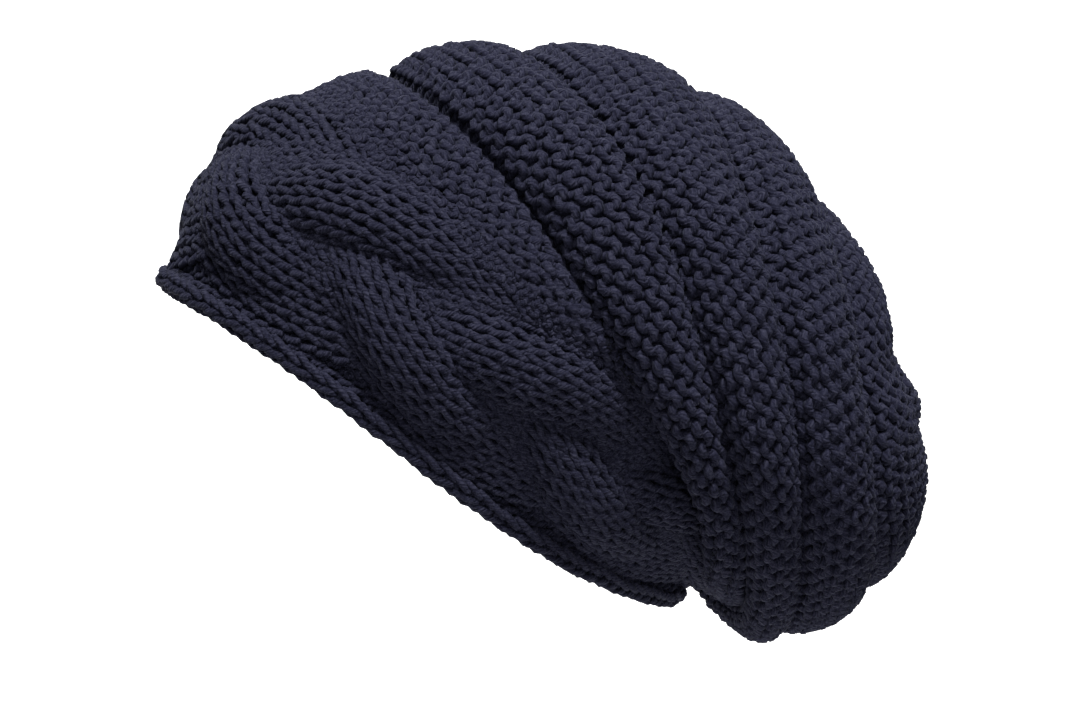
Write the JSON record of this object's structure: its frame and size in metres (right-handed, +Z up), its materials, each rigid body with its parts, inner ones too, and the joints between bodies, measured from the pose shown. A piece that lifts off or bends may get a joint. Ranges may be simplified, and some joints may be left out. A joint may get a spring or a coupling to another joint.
{
  "type": "slouchy beanie",
  "caption": "Slouchy hand-knitted beanie in its worn form: rolled brim, plaited cable band and a ridged, sagging crown.",
  "frame": {"origin": "centre of the opening for the head, where the hat sits on a head", "axes": "+Y from the front of the hat to the sag behind, +X to the wearer's left, +Z up as worn"},
  "size_m": [0.2376, 0.2914, 0.2334],
  "materials": {
    "band_wool": "heathered navy plied wool in stocking stitch, matte with a slight fuzz",
    "crown_wool": "heathered navy plied wool in reverse stocking stitch, matte with a slight fuzz"
  },
  "bodies": {
    "root": {"rolled_brim": "band_wool", "cable_band": "band_wool", "slouch_crown": "crown_wool"}
  },
  "joints": []
}
